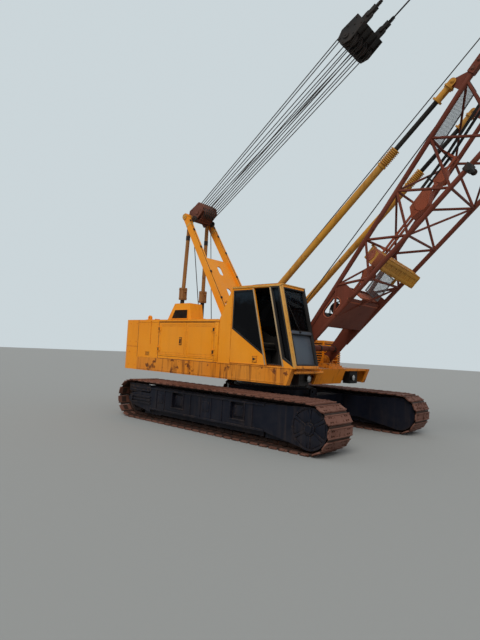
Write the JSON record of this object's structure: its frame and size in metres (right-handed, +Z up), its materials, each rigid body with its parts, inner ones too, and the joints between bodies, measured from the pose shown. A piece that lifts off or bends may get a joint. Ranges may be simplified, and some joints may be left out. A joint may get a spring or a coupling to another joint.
{
  "type": "crawler crane with lattice boom",
  "caption": "Full-size crawler crane: tracked lower machine, turning upper machine with side cab and gantry, and a raising lattice boom held by pendants.",
  "frame": {"origin": "on the ground under the swing axis, midway between the tracks", "axes": "+X forward along the boom, +Y to the machine's left, +Z up"},
  "size_m": [17.0193, 4.4, 15.78],
  "materials": {
    "yellow_paint": "weathered satin paint with rust streaks",
    "navy_paint": "dusty satin paint",
    "track_steel": "rusty, dusty steel",
    "ring_steel": "greased steel",
    "engine_iron": "oily cast iron",
    "winch_steel": "worn paint and steel rope",
    "ochre_paint": "faded paint with rust",
    "rust_paint": "rusty red-brown paint",
    "glass": "dark cab glass",
    "seat_vinyl": "black vinyl",
    "cab_black": "black",
    "black_paint": "greasy black paint",
    "mesh_steel": "galvanised mesh",
    "rope_steel": "greased wire rope",
    "hook_paint": "worn paint"
  },
  "bodies": {
    "undercarriage": {"car_body": "navy_paint", "swing_ring": "ring_steel", "track_frame_right": "navy_paint", "track_frame_left": "navy_paint", "track_right": "track_steel", "track_left": "track_steel", "track_wheels_right": "navy_paint", "track_wheels_left": "navy_paint"},
    "upper": {"deck": "yellow_paint", "counterweight": "yellow_paint", "house_right": "yellow_paint", "house_left": "yellow_paint", "engine": "engine_iron", "exhaust_hood": "yellow_paint", "winches": "winch_steel", "gantry_front": "yellow_paint", "gantry_rear": "ochre_paint", "gantry_head": "rust_paint", "cab": "yellow_paint", "cab_glass": "glass", "seat_cushions": "seat_vinyl", "cab_fittings": "cab_black", "lamps": "cab_black", "fuel_tank": "yellow_paint"},
    "cab_door": {"cab_door": "yellow_paint", "cab_door_glass": "glass"},
    "door_right_rear": {"door_right_rear": "yellow_paint"},
    "door_right_front": {"door_right_front": "yellow_paint"},
    "door_left_rear": {"door_left_rear": "yellow_paint"},
    "door_left_front": {"door_left_front": "yellow_paint"},
    "boom": {"boom_butt": "rust_paint", "boom_middle": "rust_paint", "boom_tip": "rust_paint", "boom_sheaves": "black_paint", "bail": "black_paint", "pendants": "black_paint", "tagline_winder": "ochre_paint", "tagline_guide": "rust_paint", "boom_walkway": "mesh_steel"},
    "stop_tube_right": {"stop_tube_right": "ochre_paint"},
    "stop_tube_left": {"stop_tube_left": "ochre_paint"},
    "stop_rod_right": {"stop_rod_right": "ochre_paint"},
    "stop_rod_left": {"stop_rod_left": "ochre_paint"},
    "hook": {"hoist_falls": "rope_steel", "hook_block": "hook_paint"}
  },
  "joints": [
    {"name": "swing", "type": "hinge", "parent": "undercarriage", "child": "upper", "pos_m": [0, 0, 1.04], "axis": [0, 0, 1], "continuous": true},
    {"name": "boom_luff", "type": "hinge", "parent": "upper", "child": "boom", "pos_m": [1.07, 0, 1.55], "axis": [0, -1, 0], "range_deg": [-20.3, 29.7]},
    {"name": "cab_door_slide", "type": "slide", "parent": "upper", "child": "cab_door", "axis": [1, 0, 0], "range_m": [0, 0.39]},
    {"name": "door_right_rear_hinge", "type": "hinge", "parent": "upper", "child": "door_right_rear", "pos_m": [-2.245, -1.594, 1.85], "axis": [0, 0, -1], "range_deg": [0, 110]},
    {"name": "door_right_front_hinge", "type": "hinge", "parent": "upper", "child": "door_right_front", "pos_m": [-0.4, -1.594, 1.85], "axis": [0, 0, 1], "range_deg": [0, 110]},
    {"name": "door_left_rear_hinge", "type": "hinge", "parent": "upper", "child": "door_left_rear", "pos_m": [-2.245, 1.594, 1.85], "axis": [0, 0, 1], "range_deg": [0, 110]},
    {"name": "door_left_front_hinge", "type": "hinge", "parent": "upper", "child": "door_left_front", "pos_m": [-0.4, 1.594, 1.85], "axis": [0, 0, -1], "range_deg": [0, 110]},
    {"name": "stop_tube_right_tilt", "type": "hinge", "parent": "upper", "child": "stop_tube_right", "pos_m": [-0.95, -0.69, 1.6], "axis": [0, -1, 0], "range_deg": [-16.5, 24.1]},
    {"name": "stop_rod_right_slide", "type": "slide", "parent": "stop_tube_right", "child": "stop_rod_right", "axis": [0.7216, 0.0099, 0.6922], "range_m": [-0.81, 0.56]},
    {"name": "stop_tube_left_tilt", "type": "hinge", "parent": "upper", "child": "stop_tube_left", "pos_m": [-0.95, 0.69, 1.6], "axis": [0, -1, 0], "range_deg": [-16.5, 24.1]},
    {"name": "stop_rod_left_slide", "type": "slide", "parent": "stop_tube_left", "child": "stop_rod_left", "axis": [0.7216, -0.0099, 0.6922], "range_m": [-0.81, 0.56]},
    {"name": "hook_swing", "type": "hinge", "parent": "boom", "child": "hook", "pos_m": [12.99027, 0, 15.43838], "axis": [0, -1, 0], "range_deg": [-29.8, 20.4]}
  ],
  "couplings": [
    {"joint": "stop_tube_right_tilt", "follows": "boom_luff", "ratio": 0.81},
    {"joint": "stop_rod_right_slide", "follows": "boom_luff", "m_per_rad": -1.56},
    {"joint": "stop_tube_left_tilt", "follows": "boom_luff", "ratio": 0.81},
    {"joint": "stop_rod_left_slide", "follows": "boom_luff", "m_per_rad": -1.56},
    {"joint": "hook_swing", "follows": "boom_luff", "ratio": -1}
  ]
}
